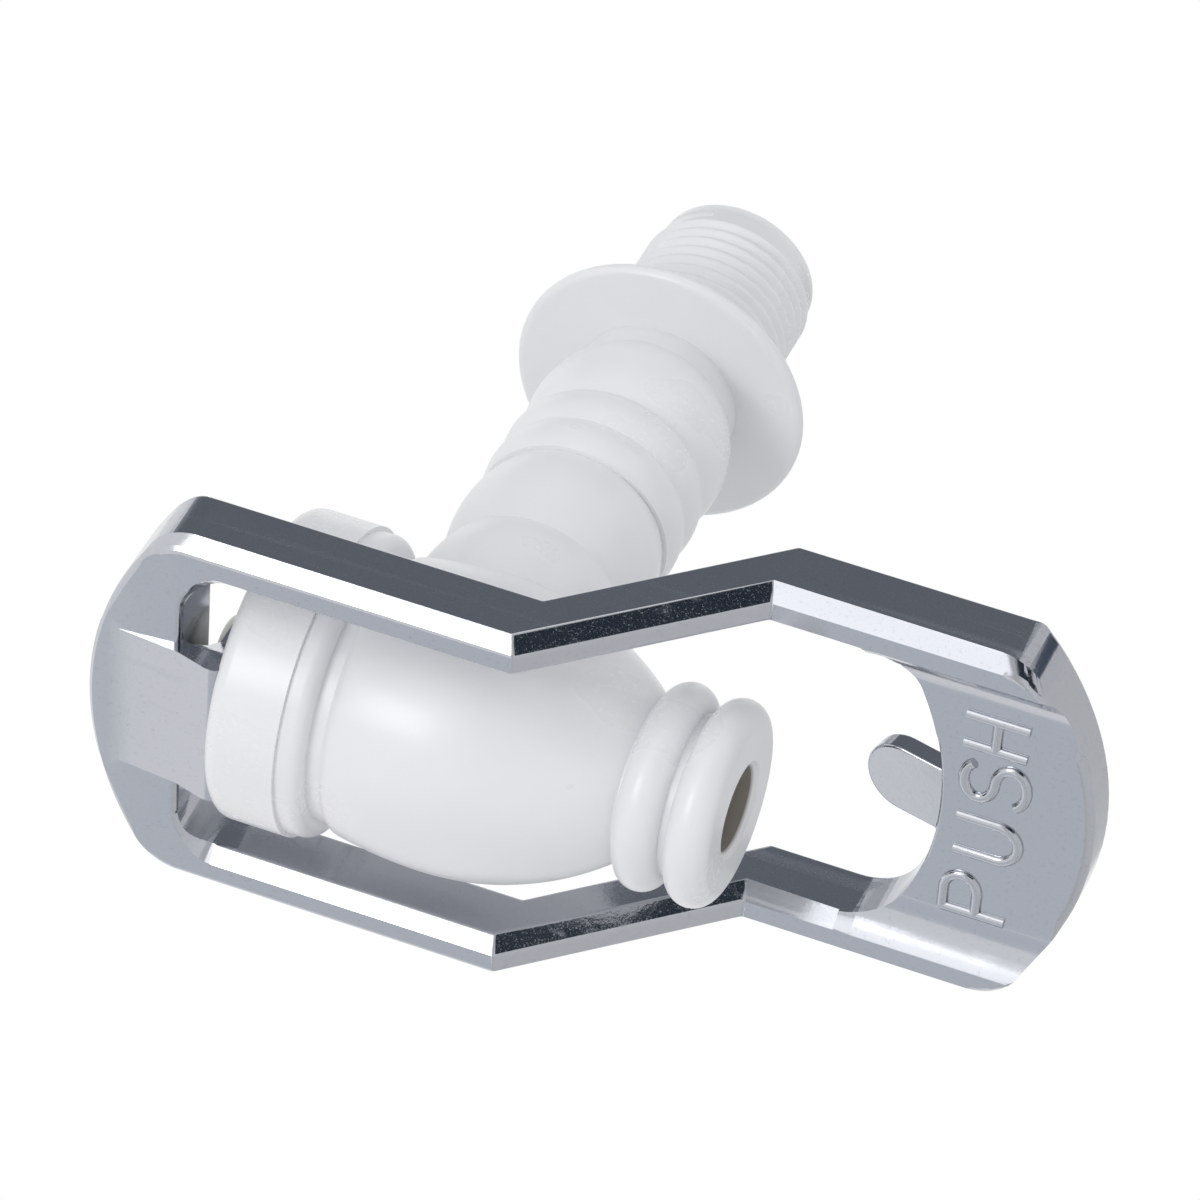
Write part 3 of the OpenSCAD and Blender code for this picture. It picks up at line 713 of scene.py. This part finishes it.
def as_object(bm, name):
    bmesh.ops.recalc_face_normals(bm, faces=bm.faces)
    mesh = bpy.data.meshes.new(name)
    bm.to_mesh(mesh)
    bm.free()
    thing = bpy.data.objects.new(name, mesh)
    bpy.context.scene.collection.objects.link(thing)
    return thing


print("cutter helpers ready")

# %% [markdown]
# The cutters are subtracted with Boolean modifiers, the corners first and then the hollows.

# %% Cut the corners and the hollows
box_low, box_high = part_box("lever")
corners = bmesh.new()
hollows = bmesh.new()
for side in (-1, 1):
    outer_corner(corners, side, 1, box_high.z - TOP_ARC_R, TOP_ARC_R, UPPER_FRONT)
    outer_corner(corners, side, -1, box_low.z + PAD_ARC_R, PAD_ARC_R, LOWER_FRONT)
    window_corner(corners, side)
    side_hollow(hollows, side)
cutters = [as_object(corners, "corners"), as_object(hollows, "hollows")]

bm = merged("lever")
flatten(bm)
blank = as_object(bm, "lever_blank")
for cutter in cutters:
    cut = blank.modifiers.new(cutter.name, "BOOLEAN")
    cut.operation = "DIFFERENCE"
    cut.object = cutter
bpy.context.view_layer.update()
bm = bmesh.new()
bm.from_mesh(blank.evaluated_get(bpy.context.evaluated_depsgraph_get()).to_mesh())
for thing in [blank] + cutters:
    bpy.data.objects.remove(thing)
bmesh.ops.remove_doubles(bm, verts=bm.verts, dist=8e-6)
flatten(bm)
print("lever faces after the cuts:", len(bm.faces))

# %% [markdown]
# A bevel on one flat face with a hundred corners leaves stray black triangles, so the large front
# faces are parted by a few planes. The back faces stay whole: parted, the upper one showed a light
# block.

# %% Part the large front faces
UPPER_LIMIT = -73 * MM
LOWER_LIMIT = -52.5 * MM
ACROSS, UP = (1, 0, 0), (0, 0, 1)


def in_front(face):
    middle = face.calc_center_median()
    return middle.y < (UPPER_LIMIT if middle.z > 0 else LOWER_LIMIT)


for point, normal in (
    ((11.5, 0, 0), ACROSS),
    ((-11.5, 0, 0), ACROSS),
    ((0, 0, 33), UP),
    ((0, 0, -60), UP),
):
    faces = [f for f in bm.faces if in_front(f)]
    edges = list(dict.fromkeys(e for f in faces for e in f.edges))
    verts = list(dict.fromkeys(v for f in faces for v in f.verts))
    bmesh.ops.bisect_plane(
        bm, geom=verts + edges + faces, dist=1e-6, plane_co=Vector(point) * MM, plane_no=normal
    )
print("open edges:", sum(1 for e in bm.edges if not e.is_manifold))

# %% [markdown]
# Polishing leaves the edges a small radius. The Bevel modifier reads its share of the full width
# from each edge: small on most, full at the pad's floor, and none on the strap and at the hollows.
# An edge that touches a rough spot, where a cut left a very short edge, gets none either, because
# the bevel would make spikes there. Along the arms, between the pad and the strap, this rule is
# off, or their long edges would lose their round. The Weighted Normal modifier keeps the large
# faces flat in reflections. The places in the function are in millimetres.

# %% Softer edges of the lever
EDGE_ROUND = 0.9 * MM
SHARP = math.radians(24)
SHORT = 0.3 * MM
ROUGH_BELOW, ROUGH_ABOVE = -38 * MM, 20 * MM
PLAIN_SHARE, FULL_SHARE, NO_SHARE = 0.3, 1.0, 0.0


def is_rough(edge, vert):
    return edge.calc_length() < SHORT and not ROUGH_BELOW < vert.co.z < ROUGH_ABOVE


def bevel_share(x, y, z):
    on_strap = z > 25 and abs(x) < 10.5
    on_pad_floor = z < -60 and abs(y - PAD_FLOOR / MM) < 0.3
    hollow_front = 20.6 < abs(x) < 21.8 and z < -42 and abs(y - LOWER_FRONT / MM) < 0.3
    hollow_end = 19.2 < abs(x) < 19.8 and -47 < z < -39 and y < -53
    if hollow_front or hollow_end:
        return NO_SHARE
    if on_pad_floor:
        return FULL_SHARE
    return NO_SHARE if on_strap else PLAIN_SHARE


weights = bm.edges.layers.float.new("bevel_weight_edge")
rough_spots = {v for e in bm.edges for v in e.verts if is_rough(e, v)}
for e in bm.edges:
    if len(e.link_faces) == 2 and e.calc_face_angle(0) >= SHARP and not rough_spots & set(e.verts):
        e[weights] = bevel_share(*((e.verts[0].co + e.verts[1].co) / 2 / MM))
lever = finish_piece(bm, "loop_lever", chrome, "handle", smooth=13)
edge = lever.modifiers.new("soft_edges", "BEVEL")
edge.width = EDGE_ROUND
edge.segments = 4
edge.limit_method = "WEIGHT"
edge.use_clamp_overlap = False
flat = lever.modifiers.new("flat_faces", "WEIGHTED_NORMAL")
flat.weight = 100
flat.keep_sharp = True
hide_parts("lever")

# %% [markdown]
# ## The word on the pad
# The pad carries the plain function word PUSH in raised rounded strokes. Each letter is drawn as
# a few pen strokes on a grid one unit high, in a plain style. The pen is a round rod, a little
# flattened, and sunk to its middle in the pad's floor.


# %% Letters
def arc(cx, cz, rx, rz, start, end, count=14):
    turn = [math.radians(start + (end - start) * i / count) for i in range(count + 1)]
    return [(cx + rx * math.cos(a), cz + rz * math.sin(a)) for a in turn]


STROKES = {
    "P": [[(0, 0), (0, 1)], [(0, 1)] + arc(0.36, 0.735, 0.30, 0.265, 90, -90) + [(0, 0.47)]],
    "U": [[(0, 1)] + arc(0.35, 0.33, 0.35, 0.33, 180, 360) + [(0.7, 1)]],
    "S": [arc(0.34, 0.755, 0.31, 0.245, 25, 270) + arc(0.34, 0.255, 0.33, 0.255, 90, -155)],
    "H": [[(0, 0), (0, 1)], [(0.68, 0), (0.68, 1)], [(0, 0.5), (0.68, 0.5)]],
}
LETTER_H = 7.35 * MM
PEN_R = 0.66 * MM
RELIEF = 0.8
for letter, left, low, wide in (
    ("P", -14.65, -62.9, 1.07),
    ("U", -5.73, -63.5, 0.985),
    ("S", 2.41, -63.75, 1.11),
    ("H", 10.13, -63.35, 0.84),
):
    pen = bpy.data.curves.new("letter_" + letter, "CURVE")
    pen.dimensions = "3D"
    pen.bevel_depth = PEN_R
    pen.bevel_resolution = 5
    pen.use_fill_caps = True
    for path in STROKES[letter]:
        line = pen.splines.new("POLY")
        line.points.add(len(path) - 1)
        for point, (x, z) in zip(line.points, path):
            point.co = (left * MM + x * wide * LETTER_H, PAD_FLOOR, low * MM + z * LETTER_H, 1)
    drawn = bpy.data.objects.new("pen", pen)
    bpy.context.scene.collection.objects.link(drawn)
    bpy.context.view_layer.update()
    mesh = bpy.data.meshes.new_from_object(drawn.evaluated_get(bpy.context.evaluated_depsgraph_get()))
    bpy.data.objects.remove(drawn)
    bm = bmesh.new()
    bm.from_mesh(mesh)
    bmesh.ops.remove_doubles(bm, verts=bm.verts, dist=1e-6)
    for v in bm.verts:
        v.co.y = PAD_FLOOR + (v.co.y - PAD_FLOOR) * RELIEF
    finish_piece(bm, "raised_" + letter, chrome, "handle", smooth=60)
